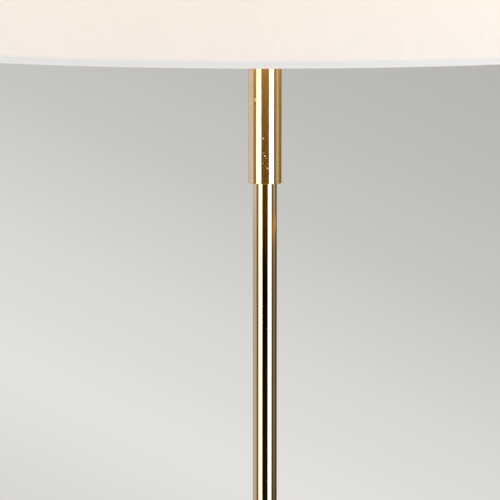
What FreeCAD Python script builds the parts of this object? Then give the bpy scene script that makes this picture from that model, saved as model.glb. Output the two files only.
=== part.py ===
import FreeCAD, Part
import math
import os

# Table lamp with a drum shade: weighted brass base, brass stem and sleeve, push-bar lampholder, bulb and
# cloth shade. Millimetres, up is +Z, the axis of the lamp is the Z axis and the table is at height zero.
# The camera side of the lamp is -Y and the cord leaves at the back, +Y.

# Clearances shared by all pieces
slide_gap = 0.05
thread_gap = 0.1
moving_gap = 0.3
cut_overrun = 1.0

# Whole lamp
rim_height = 400.0
shade_height = 250.0
shade_radius = 200.0
holder_rise = 7.0

# Base pad, weight and cover
pad_thickness = 2.0
base_radius = 85.0
base_height = 16.0
cover_wall = 1.2
cover_bevel = 1.5
cover_lift = 1.0
cover_fit_gap = 0.5
nut_recess_radius = 11.0
nut_recess_depth = 8.0
cord_channel_width = 10.0
cord_channel_depth = 6.0
cord_notch_length = 14.0

# Cord inlet in the back of the base
inlet_height = 7.6
inlet_bore_radius = 3.1
inlet_neck_radius = 4.2
inlet_flange_radius = 5.6
inlet_flange_thickness = 1.5
inlet_neck_length = 5.0

# Threaded rod with its nut and washer
rod_radius = 5.0
rod_bore_radius = 3.6
rod_end_length = 1.0
nut_width = 17.0
nut_thickness = 5.0
washer_radius = 9.0
washer_thickness = 1.0
washer_tooth_depth = 1.4
washer_teeth = 12

# Stem and sleeve
stem_radius = 6.5
stem_wall = 1.0
sleeve_radius = 9.0
sleeve_wall = 1.0
sleeve_length = 80.0
sleeve_edge_chamfer = 0.35
sleeve_bush_length = 5.0
sleeve_bush_recess = 0.8
sleeve_bush_ribs = 12

# Lampholder cap with its earth terminal
cap_radius = 19.5
cap_wall = 0.8
cap_height = 26.0
cap_floor_thickness = 2.5
earth_post_offset = 13.0
earth_post_radius = 2.5
earth_post_height = 8.0
earth_head_radius = 2.2
earth_head_height = 1.6
screw_slot_width = 0.7
screw_slot_depth = 0.6

# Push-bar switch
block_length = 22.0
block_width = 16.0
rod_end_stand = 2.0
bar_width = 5.0
bar_thickness = 4.0
bar_travel = 6.0
bar_stand = 3.0
bar_height_in_cap = 15.0
bar_cam_length = 5.0
bar_cam_depth = 0.9

# Ceramic core, terminals and contacts
core_side = 24.0
core_corner_radius = 4.0
core_thickness = 12.0
core_slot_width = 3.0
core_slot_depth = 2.0
terminal_length = 5.0
terminal_width = 4.6
terminal_height = 6.0
terminal_screw_radius = 1.75
terminal_screw_height = 2.0
contact_thickness = 0.5
contact_width = 5.0
contact_foot_length = 4.0
contact_reach = 8.0
contact_rise = 1.5
side_contact_offset = 11.2

# Threaded insert and skirt
insert_bore_radius = 13.55
insert_height = 25.0
insert_ribs = 16
skirt_radius = 20.0
skirt_wall = 1.3
skirt_height = 41.0

# Shade rings and fitter
ring_radius = 28.0
ring_thickness = 6.0
ring_ribs = 24
fitter_recess = 44.0
fitter_bore_gap = 0.75
fitter_radius = 36.0
fitter_thickness = 1.5
arm_width = 5.0
arm_thickness = 2.0
arm_count = 3
arm_flat_length = 12.0
arm_end_length = 10.0
arm_bend_radius = 8.0
arm_first_angle = 90.0
arm_ring_gap = 1.0

# Shade cloth, lining and strip rings
cloth_thickness = 0.5
lining_thickness = 0.5
strip_thickness = 1.0
strip_height = 3.4

# Bulb
bulb_contact_gap = 0.3
tip_radius = 4.5
tip_height = 1.2
insulator_radius = 9.5
insulator_height = 3.0
shell_radius = 13.25
bulb_seat_gap = 0.8
bulb_radius = 19.0
bulb_body_height = 14.0
diffuser_height = 70.0
diffuser_bevel = 3.0

# Heights and radii that follow from the sizes above
shade_top_height = rim_height + shade_height
holder_seat_height = rim_height + holder_rise
cap_floor_height = holder_seat_height + cap_floor_thickness
cap_rim_height = holder_seat_height + cap_height
core_top_height = cap_rim_height + core_thickness
sleeve_bottom_height = holder_seat_height - sleeve_length
weight_top_height = base_height - cover_wall
weight_radius = base_radius - cover_wall - cover_fit_gap
nut_ceiling_height = pad_thickness + nut_recess_depth
rod_bottom_height = nut_ceiling_height - washer_thickness - nut_thickness - rod_end_length
rod_top_height = cap_floor_height + rod_end_stand
bar_height = holder_seat_height + bar_height_in_cap
fitter_seat_height = rim_height + fitter_recess
bulb_bottom_height = core_top_height + contact_rise + bulb_contact_gap
shell_bottom_height = bulb_bottom_height + tip_height + insulator_height
shell_top_height = cap_rim_height + skirt_height + bulb_seat_gap
strip_outer_radius = shade_radius - cloth_thickness - slide_gap
strip_inner_radius = strip_outer_radius - strip_thickness
strip_rise = cloth_thickness + slide_gap

# Directions and whole turns
origin = FreeCAD.Vector(0, 0, 0)
up = FreeCAD.Vector(0, 0, 1)
right = FreeCAD.Vector(1, 0, 0)
back = FreeCAD.Vector(0, 1, 0)
full_turn = 360.0


def at(radius, height):
    """Point of a half section, right of the lamp's axis."""
    return FreeCAD.Vector(radius, 0, height)


def spun(*corners):
    """Solid turned about the lamp's axis from the (radius, height) corners of its half section."""
    outline = Part.makePolygon([at(*corner) for corner in corners + corners[:1]])
    return Part.Face(outline).revolve(origin, up, full_turn)


def tube(inner_radius, outer_radius, bottom, top):
    """Plain round tube on the lamp's axis."""
    return spun((inner_radius, bottom), (outer_radius, bottom), (outer_radius, top), (inner_radius, top))


def rod(radius, length, start, direction):
    """Round bar or the tool for a round hole."""
    return Part.makeCylinder(radius, length, start, direction)


def slab(length, width, bottom, top, x=0, y=0):
    """Upright rectangular block, centred at x and y."""
    corner = FreeCAD.Vector(x - length / 2, y - width / 2, bottom)
    return Part.makeBox(length, width, top - bottom, corner)


def polygon_prism(points, bottom, top):
    """Upright prism over the (x, y) points of its outline."""
    outline = Part.makePolygon([FreeCAD.Vector(x, y, bottom) for x, y in points + points[:1]])
    return Part.Face(outline).extrude(up * (top - bottom))


def ring_points(radii, count):
    """Points evenly round the axis, taking the radii in turn."""
    steps = count * len(radii)
    angles = [math.radians(full_turn * step / steps) for step in range(steps)]
    return [
        (radii[step % len(radii)] * math.cos(angle), radii[step % len(radii)] * math.sin(angle))
        for step, angle in enumerate(angles)
    ]


def export(name, *solids):
    """Write one piece, or one group of like pieces, as a file of its own."""
    shape = solids[0] if len(solids) == 1 else Part.makeCompound(list(solids))
    shape.exportStep(f"parts/{name}.step")


def base_pad():
    """Felt disc under the weight; the lamp stands on it."""
    return rod(weight_radius, pad_thickness, origin, up)


def base_weight():
    """Cast disc that fills the cover, with a recess for the nut and a way for the cord."""
    bore = rod_radius + thread_gap
    casting = spun(
        (bore, nut_ceiling_height),
        (nut_recess_radius, nut_ceiling_height),
        (nut_recess_radius, pad_thickness),
        (weight_radius, pad_thickness),
        (weight_radius, weight_top_height),
        (bore, weight_top_height),
    )
    channel_length = weight_radius - nut_recess_radius + 2 * cut_overrun
    channel = slab(
        cord_channel_width,
        channel_length,
        pad_thickness - cut_overrun,
        pad_thickness + cord_channel_depth,
        y=nut_recess_radius - cut_overrun + channel_length / 2,
    )
    notch = slab(
        cord_channel_width,
        cord_notch_length,
        pad_thickness - cut_overrun,
        weight_top_height + cut_overrun,
        y=weight_radius + cut_overrun - cord_notch_length / 2,
    )
    return casting.cut(channel).cut(notch)


def base_cover():
    """Spun shell over the weight: flat top, bevelled edge, upright wall with the cord's hole at the back."""
    bore = rod_radius + thread_gap
    inside = base_radius - cover_wall
    shell = spun(
        (inside, cover_lift),
        (base_radius, cover_lift),
        (base_radius, base_height - cover_bevel),
        (base_radius - cover_bevel, base_height),
        (bore, base_height),
        (bore, weight_top_height),
        (inside, weight_top_height),
    )
    hole_start = FreeCAD.Vector(0, inside - cut_overrun, inlet_height)
    hole = rod(inlet_neck_radius + slide_gap, cover_wall + 2 * cut_overrun, hole_start, back)
    return shell.cut(hole)


def cable_bush():
    """Bush pressed into the cover's rear wall: a flange outside, a neck through the wall, a round bore."""
    neck_start = FreeCAD.Vector(0, base_radius + slide_gap - inlet_neck_length, inlet_height)
    flange_start = FreeCAD.Vector(0, base_radius + slide_gap, inlet_height)
    bush = rod(inlet_neck_radius, inlet_neck_length, neck_start, back)
    bush = bush.fuse(rod(inlet_flange_radius, inlet_flange_thickness, flange_start, back))
    bore_start = neck_start - back * cut_overrun
    bore_length = inlet_neck_length + inlet_flange_thickness + 2 * cut_overrun
    return bush.cut(rod(inlet_bore_radius, bore_length, bore_start, back)).removeSplitter()


def threaded_rod():
    """Hollow rod that ties base, stem and lampholder together and carries the cord."""
    return tube(rod_bore_radius, rod_radius, rod_bottom_height, rod_top_height)


def lock_washer():
    """Toothed washer between the nut and the weight."""
    top = nut_ceiling_height
    teeth = ring_points([washer_radius, washer_radius - washer_tooth_depth], washer_teeth)
    disc = polygon_prism(teeth, top - washer_thickness, top)
    bore_start = at(0, top - washer_thickness - cut_overrun)
    return disc.cut(rod(rod_radius + thread_gap, washer_thickness + 2 * cut_overrun, bore_start, up))


def rod_nut():
    """Thin hexagon nut on the lower end of the rod."""
    top = nut_ceiling_height - washer_thickness
    corner_radius = nut_width / math.sqrt(3)
    hexagon = polygon_prism(ring_points([corner_radius], 6), top - nut_thickness, top)
    bore_start = at(0, top - nut_thickness - cut_overrun)
    return hexagon.cut(rod(rod_radius + thread_gap, nut_thickness + 2 * cut_overrun, bore_start, up))


def stem_tube():
    """Long brass tube that stands on the base and carries the lampholder."""
    return tube(stem_radius - stem_wall, stem_radius, base_height, holder_seat_height)


def stem_sleeve():
    """Wider tube over the top of the stem, its lower outer edge eased."""
    inside = sleeve_radius - sleeve_wall
    return spun(
        (inside, sleeve_bottom_height),
        (sleeve_radius - sleeve_edge_chamfer, sleeve_bottom_height),
        (sleeve_radius, sleeve_bottom_height + sleeve_edge_chamfer),
        (sleeve_radius, holder_seat_height),
        (inside, holder_seat_height),
    )


def sleeve_bush():
    """Ribbed ring between stem and sleeve, set back a little from the sleeve's lower edge."""
    bottom = sleeve_bottom_height + sleeve_bush_recess
    top = bottom + sleeve_bush_length
    outside = sleeve_radius - sleeve_wall - slide_gap
    ring = polygon_prism(ring_points([outside], sleeve_bush_ribs), bottom, top)
    bore_start = at(0, bottom - cut_overrun)
    return ring.cut(rod(stem_radius + slide_gap, sleeve_bush_length + 2 * cut_overrun, bore_start, up))


def holder_cap():
    """Brass cup on the rod's upper end, with two holes for the push bar and a post for the earth."""
    bore = rod_radius + thread_gap
    inside = cap_radius - cap_wall
    cup = spun(
        (bore, holder_seat_height),
        (cap_radius, holder_seat_height),
        (cap_radius, cap_rim_height),
        (inside, cap_rim_height),
        (inside, cap_floor_height),
        (bore, cap_floor_height),
    )
    bar_hole = bar_guide(2 * (cap_radius + cut_overrun), moving_gap)
    post_start = FreeCAD.Vector(0, -earth_post_offset, cap_floor_height)
    post = rod(earth_post_radius, earth_post_height, post_start, up)
    return cup.cut(bar_hole).fuse(post).removeSplitter()


def slotted_head(radius, height, centre, direction):
    """Low round screw head with a straight slot across its outer face."""
    head = rod(radius, height, centre, direction)
    face_height = centre.z + direction.z * height
    slot_floor = face_height - direction.z * screw_slot_depth
    slot_mouth = face_height + direction.z * cut_overrun
    slot = slab(
        2 * (radius + cut_overrun),
        screw_slot_width,
        min(slot_floor, slot_mouth),
        max(slot_floor, slot_mouth),
        x=centre.x,
        y=centre.y,
    )
    return head.cut(slot)


def earth_screw():
    """Screw on the cap's earth post."""
    centre = FreeCAD.Vector(0, -earth_post_offset, cap_floor_height + earth_post_height)
    return slotted_head(earth_head_radius, earth_head_height, centre, up)


def bar_guide(length, gap):
    """Tool for a square-cornered hole that the push bar slides in."""
    return slab(
        length,
        bar_width + 2 * gap,
        bar_height - bar_thickness / 2 - gap,
        bar_height + bar_thickness / 2 + gap,
    )


def switch_block():
    """Moulded block on the cap's floor, hollow over the rod's end, with a guide hole for the push bar."""
    block = slab(block_length, block_width, cap_floor_height, cap_rim_height)
    pocket_start = at(0, cap_floor_height - cut_overrun)
    pocket_depth = cut_overrun + rod_end_stand + moving_gap
    pocket = rod(rod_radius + moving_gap, pocket_depth, pocket_start, up)
    return block.cut(pocket).cut(bar_guide(block_length + 2 * cut_overrun, slide_gap))


def switch_bar():
    """Moulded bar pushed through from either side, at rest out to the left, notched to work the switch."""
    middle = -bar_travel / 2
    length = 2 * (cap_radius + bar_stand) + bar_travel
    lower = bar_height - bar_thickness / 2
    upper = bar_height + bar_thickness / 2
    bar = slab(length, bar_width, lower, upper, x=middle)
    notch = slab(
        bar_cam_length,
        bar_width + 2 * cut_overrun,
        upper - bar_cam_depth,
        upper + cut_overrun,
        x=middle,
    )
    return bar.cut(notch)


def holder_core():
    """Ceramic core, a rounded square with a slot on each side for its terminals' wires."""
    core = slab(core_side, core_side, cap_rim_height, core_top_height)
    upright = [edge for edge in core.Edges if abs(edge.tangentAt(edge.FirstParameter).z) > 0.5]
    core = core.makeFillet(core_corner_radius, upright)
    for side in (-1, 1):
        slot = slab(
            core_slot_width,
            core_slot_depth + cut_overrun,
            cap_rim_height - cut_overrun,
            core_top_height + cut_overrun,
            x=side * core_side / 4,
            y=side * (core_side / 2 + cut_overrun / 2 - core_slot_depth / 2),
        )
        core = core.cut(slot)
    return core


def terminal_offset(side):
    """Distance of a terminal's middle from the axis: beside the switch block, under the core."""
    return side * (block_width / 2 + moving_gap + terminal_width / 2)


def terminal_block(side):
    """Brass block that clamps one wire, hung under the core."""
    bottom = cap_rim_height - terminal_height
    return slab(terminal_length, terminal_width, bottom, cap_rim_height, y=terminal_offset(side))


def terminal_screw(side):
    """Screw head under one terminal block."""
    centre = FreeCAD.Vector(0, terminal_offset(side), cap_rim_height - terminal_height)
    return slotted_head(terminal_screw_radius, terminal_screw_height, centre, -up)


def leaf(points, width, y=0):
    """Flat spring strip whose upper side follows the (x, height) points, extruded across."""
    upper = [FreeCAD.Vector(x, y - width / 2, z) for x, z in points]
    lower = [FreeCAD.Vector(x, y - width / 2, z - contact_thickness) for x, z in reversed(points)]
    outline = Part.makePolygon(upper + lower + upper[:1])
    return Part.Face(outline).extrude(back * width)


def centre_contact():
    """Sprung tongue on the core that rises under the bulb's tip."""
    low = core_top_height + contact_thickness
    high = core_top_height + contact_rise
    return leaf(
        [
            (-contact_reach, low),
            (-contact_reach + contact_foot_length, low),
            (0, high),
            (contact_foot_length / 2, high),
        ],
        contact_width,
    )


def side_contact():
    """Upright tongue on the core whose tip stands just below the rim of the bulb's shell."""
    foot = slab(
        contact_foot_length,
        contact_width,
        core_top_height,
        core_top_height + contact_thickness,
        x=side_contact_offset - contact_foot_length / 2,
    )
    blade_top = shell_bottom_height - moving_gap
    blade = slab(
        contact_thickness,
        contact_width,
        core_top_height,
        blade_top,
        x=side_contact_offset + contact_thickness / 2,
    )
    return foot.fuse(blade).removeSplitter()


def thread_insert():
    """Moulded ring on the core that takes the bulb's thread, ribbed outside so that it can't turn."""
    outside = skirt_radius - skirt_wall - thread_gap
    top = core_top_height + insert_height
    ring = polygon_prism(ring_points([outside], insert_ribs), core_top_height, top)
    bore_start = at(0, core_top_height - cut_overrun)
    return ring.cut(rod(insert_bore_radius, insert_height + 2 * cut_overrun, bore_start, up))


def holder_skirt():
    """Brass sleeve on the cap; the shade rings turn on its outer thread."""
    return tube(skirt_radius - skirt_wall, skirt_radius, cap_rim_height, cap_rim_height + skirt_height)


def shade_ring(bottom):
    """Ribbed ring nut on the skirt."""
    rim = polygon_prism(ring_points([ring_radius], ring_ribs), bottom, bottom + ring_thickness)
    bore_start = at(0, bottom - cut_overrun)
    return rim.cut(rod(skirt_radius + thread_gap, ring_thickness + 2 * cut_overrun, bore_start, up))


def fitter_washer():
    """Flat washer of the fitter, between the two shade rings."""
    bottom = fitter_seat_height + moving_gap
    return tube(skirt_radius + fitter_bore_gap, fitter_radius, bottom, bottom + fitter_thickness)


def bent_path(points, bend_radius):
    """Path of straight runs joined by arcs that touch both runs at every inner point."""
    edges = []
    start = points[0]
    for before, corner, after in zip(points, points[1:], points[2:]):
        arriving = (corner - before).normalize()
        leaving = (after - corner).normalize()
        turn = arriving.getAngle(leaving)
        reach = bend_radius * math.tan(turn / 2)
        arc_start = corner - arriving * reach
        arc_end = corner + leaving * reach
        inward = (leaving - arriving).normalize()
        sag = bend_radius / math.cos(turn / 2) - bend_radius
        edges.append(Part.makeLine(start, arc_start))
        edges.append(Part.Arc(arc_start, corner + inward * sag, arc_end).toShape())
        start = arc_end
    edges.append(Part.makeLine(start, points[-1]))
    return Part.Wire(edges)


def fitter_arm(index):
    """Flat bar bent from the fitter's washer down and out to the strip ring in the lower hem."""
    high = fitter_seat_height + moving_gap + fitter_thickness + arm_thickness / 2
    low = rim_height + strip_rise + strip_height / 2
    inner = ring_radius + arm_ring_gap
    outer = strip_inner_radius - slide_gap
    points = [
        at(inner, high),
        at(inner + arm_flat_length, high),
        at(outer - arm_end_length, low),
        at(outer, low),
    ]
    corners = [
        FreeCAD.Vector(inner, side * arm_width / 2, high + rise * arm_thickness / 2)
        for side, rise in [(-1, -1), (1, -1), (1, 1), (-1, 1), (-1, -1)]
    ]
    section = Part.makePolygon(corners)
    arm = bent_path(points, arm_bend_radius).makePipeShell([section], True, False)
    arm.rotate(origin, up, arm_first_angle + full_turn * index / arm_count)
    return arm


def strip_ring(bottom):
    """Flat strip bent to a ring, edge up, inside a hem of the shade."""
    return tube(strip_inner_radius, strip_outer_radius, bottom, bottom + strip_height)


def shade_lining():
    """Stiff plastic lining between the two strip rings."""
    margin = strip_rise + strip_height + slide_gap
    outside = strip_outer_radius
    return tube(outside - lining_thickness, outside, rim_height + margin, shade_top_height - margin)


def shade_fabric():
    """Cloth drum, turned in at both ends under and over the strip rings."""
    inside = shade_radius - cloth_thickness
    fold_end = strip_inner_radius
    return spun(
        (shade_radius, rim_height),
        (fold_end, rim_height),
        (fold_end, rim_height + cloth_thickness),
        (inside, rim_height + cloth_thickness),
        (inside, shade_top_height - cloth_thickness),
        (fold_end, shade_top_height - cloth_thickness),
        (fold_end, shade_top_height),
        (shade_radius, shade_top_height),
    )


def bulb_tip():
    """Soldered centre contact of the bulb."""
    return rod(tip_radius, tip_height, at(0, bulb_bottom_height), up)


def bulb_insulator():
    """Black glass disc between the bulb's tip and its shell."""
    return rod(insulator_radius, insulator_height, at(0, bulb_bottom_height + tip_height), up)


def bulb_shell():
    """Screw shell of the bulb."""
    return rod(shell_radius, shell_top_height - shell_bottom_height, at(0, shell_bottom_height), up)


def bulb_body():
    """White moulded drum of the bulb, above the skirt."""
    return rod(bulb_radius, bulb_body_height, at(0, shell_top_height), up)


def bulb_diffuser():
    """Opal tube of a stick-shaped bulb, closed by a flat end with a bevel."""
    bottom = shell_top_height + bulb_body_height
    top = bottom + diffuser_height
    return spun(
        (0, bottom),
        (bulb_radius, bottom),
        (bulb_radius, top - diffuser_bevel),
        (bulb_radius - diffuser_bevel, top),
        (0, top),
    )


os.makedirs("parts", exist_ok=True)

export("base_pad", base_pad())
export("base_weight", base_weight())
export("base_cover", base_cover())
export("cable_bush", cable_bush())
export("rod_nut", rod_nut())
export("lock_washer", lock_washer())

export("threaded_rod", threaded_rod())
export("stem_tube", stem_tube())
export("stem_sleeve", stem_sleeve())
export("sleeve_bush", sleeve_bush())

export("holder_cap", holder_cap())
export("earth_screw", earth_screw())
export("switch_block", switch_block())
export("switch_bar", switch_bar())
export("holder_core", holder_core())
export("terminal_blocks", *[terminal_block(side) for side in (-1, 1)])
export("terminal_screws", *[terminal_screw(side) for side in (-1, 1)])
export("centre_contact", centre_contact())
export("side_contact", side_contact())
export("thread_insert", thread_insert())
export("holder_skirt", holder_skirt())

upper_ring_bottom = fitter_seat_height + fitter_thickness + 2 * moving_gap
export("lower_shade_ring", shade_ring(fitter_seat_height - ring_thickness))
export("upper_shade_ring", shade_ring(upper_ring_bottom))
export("shade_fitter", fitter_washer(), *[fitter_arm(index) for index in range(arm_count)])
export("bottom_ring", strip_ring(rim_height + strip_rise))
export("top_ring", strip_ring(shade_top_height - strip_rise - strip_height))
export("shade_lining", shade_lining())
export("shade_fabric", shade_fabric())

export("bulb_tip", bulb_tip())
export("bulb_insulator", bulb_insulator())
export("bulb_shell", bulb_shell())
export("bulb_body", bulb_body())
export("bulb_diffuser", bulb_diffuser())
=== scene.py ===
import math

import bmesh
import bpy
from mathutils import Matrix, Vector, noise


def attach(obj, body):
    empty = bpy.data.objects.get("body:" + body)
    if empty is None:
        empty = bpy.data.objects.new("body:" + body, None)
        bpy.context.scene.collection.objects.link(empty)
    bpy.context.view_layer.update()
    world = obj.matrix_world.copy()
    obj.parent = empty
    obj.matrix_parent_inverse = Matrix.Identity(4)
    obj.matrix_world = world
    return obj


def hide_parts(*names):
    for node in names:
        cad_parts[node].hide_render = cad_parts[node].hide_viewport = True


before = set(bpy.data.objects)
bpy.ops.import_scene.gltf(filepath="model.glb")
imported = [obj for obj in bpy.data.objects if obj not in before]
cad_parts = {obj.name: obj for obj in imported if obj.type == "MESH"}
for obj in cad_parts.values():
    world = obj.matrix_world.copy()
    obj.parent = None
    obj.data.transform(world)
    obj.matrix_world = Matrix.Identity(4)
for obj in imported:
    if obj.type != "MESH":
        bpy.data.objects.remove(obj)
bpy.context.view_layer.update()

# Base pad. A 2 mm disc of pressed black felt, die cut and glued under the cast weight so that the
# lamp doesn't mark the table. The cut edge is slightly furry and presses out of true.


def step(tree, kind, sockets=None, **settings):
    """One node: its settings, and a number, colour or other node's output for each socket that needs one."""
    made = tree.nodes.new("ShaderNode" + kind)
    for setting, value in settings.items():
        setattr(made, setting, value)
    for socket, value in (sockets or {}).items():
        if isinstance(value, bpy.types.NodeSocket):
            tree.links.new(value, made.inputs[socket])
        else:
            made.inputs[socket].default_value = value
    return made


def sums(tree, operation, first, second=0.0, third=0.0):
    """The output of one Math node."""
    return step(tree, "Math", {0: first, 1: second, 2: third}, operation=operation).outputs[0]


def ranged(tree, value, low=0.0, high=1.0, start=0.0, end=1.0, **settings):
    """The number that goes from low to high as value goes from start to end."""
    sockets = {"Value": value, "From Min": start, "From Max": end, "To Min": low, "To Max": high}
    return step(tree, "MapRange", sockets, **settings).outputs[0]


def tinted(tree, share, first, second, **settings):
    """The colour from first to second, each a plain colour or an output, as share goes from 0 to 1."""
    first, second = (end if isinstance(end, bpy.types.NodeSocket) else (*end, 1) for end in (first, second))
    return step(tree, "Mix", {0: share, 6: first, 7: second}, data_type="RGBA", **settings).outputs[2]


def new_effect(name, inputs, outputs):
    """A node group for an effect that several finishes use, with what it takes in and what it puts out."""
    effect = bpy.data.node_groups.new(name, "ShaderNodeTree")
    for label, value in inputs.items():
        taken_in = effect.interface.new_socket(label, in_out="INPUT", socket_type="NodeSocketFloat")
        taken_in.default_value = value
    for label in outputs:
        effect.interface.new_socket(label, in_out="OUTPUT", socket_type="NodeSocketFloat")
    return effect, effect.nodes.new("NodeGroupInput").outputs, effect.nodes.new("NodeGroupOutput").inputs


def placed(tree, effect, **values):
    """The outputs of an effect that is placed in a finish with its own values."""
    return step(tree, "Group", values, node_tree=effect).outputs


def plain_finish(name):
    """A new material with its node tree and its shader."""
    finish = bpy.data.materials.new(name)
    finish.use_nodes = True
    return finish, finish.node_tree, finish.node_tree.nodes["Principled BSDF"]


def feed(tree, shader, bump_depth=0.0, **sources):
    """Lead worked-out values to the shader's sockets; Height goes there through a Bump node."""
    for socket, source in sources.items():
        if socket == "Height":
            bump = step(tree, "Bump", {"Height": source, "Distance": bump_depth})
            tree.links.new(bump.outputs[0], shader.inputs["Normal"])
        else:
            tree.links.new(source, shader.inputs[socket.replace("_", " ")])


def corners_in(made):
    """The vertices among what a mesh operator made."""
    return [part for part in made["geom"] if isinstance(part, bmesh.types.BMVert)]


def set_in_place(name, form, finish, body, replaced):
    """Turn a finished bmesh into a piece that rides on its body and stands for its CAD nodes."""
    mesh = bpy.data.meshes.new(name)
    form.to_mesh(mesh)
    form.free()
    mesh.shade_smooth()
    mesh.materials.append(finish)
    piece = bpy.data.objects.new(name, mesh)
    bpy.context.scene.collection.objects.link(piece)
    piece.modifiers.new("even_shading", "WEIGHTED_NORMAL")
    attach(piece, body)
    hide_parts(*replaced)
    return piece


grain, taken, given = new_effect(
    "grain",
    {"Scale": 100.0, "Detail": 3.0, "Twist": 0.0, "Smoothest": 0.3, "Roughest": 0.5},
    ["Value", "Roughness"],
)
lay = step(grain, "TexCoord").outputs["Object"]
sockets = {"Vector": lay, "Scale": taken["Scale"], "Detail": taken["Detail"], "Distortion": taken["Twist"]}
grains = step(grain, "TexNoise", sockets).outputs[0]
grain.links.new(grains, given["Value"])
grain.links.new(ranged(grain, grains, taken["Smoothest"], taken["Roughest"]), given["Roughness"])

felt, tree, shader = plain_finish("black_felt")
fibres = placed(tree, grain, Scale=900, Detail=5, Twist=2.5)["Value"]
tufts = placed(tree, grain, Scale=120, Detail=3)["Value"]
pile = sums(tree, "MULTIPLY", fibres, tufts)
felt_black = tinted(tree, pile, (0.012, 0.012, 0.014), (0.11, 0.11, 0.115))
feed(tree, shader, bump_depth=0.0006, Base_Color=felt_black, Height=pile)
shader.inputs["Roughness"].default_value = 0.95
shader.inputs["Sheen Weight"].default_value = 0.4

pad_radius = 0.0831
pad_thickness = 0.002
cut_edge_round = 0.0005
cut_edge_waver = 0.002
waver_scale = 400
corner_angle = 0.5

form = bmesh.new()
bmesh.ops.create_circle(form, cap_ends=True, segments=180, radius=pad_radius)
upper = corners_in(bmesh.ops.extrude_face_region(form, geom=form.faces[:]))
bmesh.ops.translate(form, verts=upper, vec=(0, 0, pad_thickness))
bmesh.ops.recalc_face_normals(form, faces=form.faces)
rims = [edge for edge in form.edges if edge.calc_face_angle() > corner_angle]
bmesh.ops.bevel(form, geom=rims, offset=cut_edge_round, segments=3, profile=0.5, affect="EDGES", material=-1)
for corner in form.verts:
    if corner.co.xy.length > pad_radius / 2:
        corner.co.xy *= 1 + cut_edge_waver * noise.noise(corner.co * waver_scale)
pad = set_in_place("felt_pad", form, felt, "stand", ["base_pad"])


# Cast weight. Grey iron, sand cast with its nut recess and cord channel and dipped in black primer.
# It fills the brass cover and is seen only where the felt is peeled back.


def grained_finish(name, colours, fine, roughness, bump_depth, coarse=None, metallic=0.0):
    """A finish whose gloss and bumps follow a fine grain, and its colour a coarse one if it has one."""
    finish, tree, shader = plain_finish(name)
    tooth = placed(tree, grain, Scale=fine[0], Detail=fine[1], Smoothest=roughness[0], Roughest=roughness[1])
    drift = placed(tree, grain, Scale=coarse[0], Detail=coarse[1]) if coarse else tooth
    colour = tinted(tree, drift["Value"], *colours)
    feed(tree, shader, bump_depth, Base_Color=colour, Roughness=tooth["Roughness"], Height=tooth["Value"])
    shader.inputs["Metallic"].default_value = metallic
    return finish


def refinish(finish, *nodes):
    """Give pieces that keep their CAD shape their real finish."""
    for node in nodes:
        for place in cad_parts[node].material_slots:
            place.material = finish


cast_iron = grained_finish(
    "primed_cast_iron",
    colours=((0.016, 0.016, 0.018), (0.05, 0.048, 0.046)),
    fine=(700, 4),
    coarse=(60, 3),
    roughness=(0.5, 0.8),
    bump_depth=0.0004,
    metallic=0.3,
)
refinish(cast_iron, "base_weight")


# Base cover. Thin brass sheet spun over the weight on a lathe, its edge rolled to a small radius,
# then polished and lacquered. Fine lathe marks run round it, and the edge has lost a little lacquer.


def turned(outline, steps=144):
    """A closed solid turned about the lamp's axis from the (radius, height) corners of its half section."""
    form = bmesh.new()
    corners = [form.verts.new((radius, 0, height)) for radius, height in outline]
    section = [form.edges.new(pair) for pair in zip(corners, corners[1:] + corners[:1])]
    bmesh.ops.spin(
        form,
        geom=corners + section,
        axis=(0, 0, 1),
        cent=(0, 0, 0),
        angle=math.tau,
        steps=steps,
        use_merge=True,
    )
    bmesh.ops.remove_doubles(form, verts=form.verts, dist=1e-6)
    bmesh.ops.recalc_face_normals(form, faces=form.faces)
    return form


def soften(form, radius, rounds=3, along=None):
    """Round the sharp edges that along picks by its own rule, or all of them, and mark them as worn."""
    worn = form.verts.layers.float.get("worn") or form.verts.layers.float.new("worn")
    sharp = [edge for edge in form.edges if edge.is_manifold and edge.calc_face_angle() > corner_angle]
    chosen = [edge for edge in sharp if along is None or along((edge.verts[0].co + edge.verts[1].co) / 2)]
    made = bmesh.ops.bevel(
        form,
        geom=chosen,
        offset=radius,
        segments=rounds,
        profile=0.5,
        affect="EDGES",
        material=-1,
        clamp_overlap=True,
    )
    rounded = set(made["faces"])
    for face in rounded:
        for corner in face.verts:
            if rounded.issuperset(corner.link_faces):
                corner[worn] = 1.0


def rim(height, beyond=0.0):
    """The rule that picks the edges at a height that lie further from the axis than beyond."""
    return lambda at: abs(at.z - height) < hair and at.xy.length > beyond


def lay_round(form, name, radius):
    """A UV map in metres: round the axis at that radius from the back, and up."""
    lay = form.loops.layers.uv.new(name)
    for face in form.faces:
        middle = face.calc_center_median()
        facing = math.atan2(-middle.x, middle.y) % math.tau
        for corner in face.loops:
            turn = math.atan2(-corner.vert.co.x, corner.vert.co.y)
            turn += math.tau * round((facing - turn) / math.tau)
            corner[lay].uv = (turn * radius, corner.vert.co.z + corner.vert.co.xy.length)


def set_brass(name, form, radius, finish, body, node):
    """Lay the turning marks round a finished brass piece and set it in place."""
    lay_round(form, "turning_lay", radius)
    return set_in_place(name, form, finish, body, [node])


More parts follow.
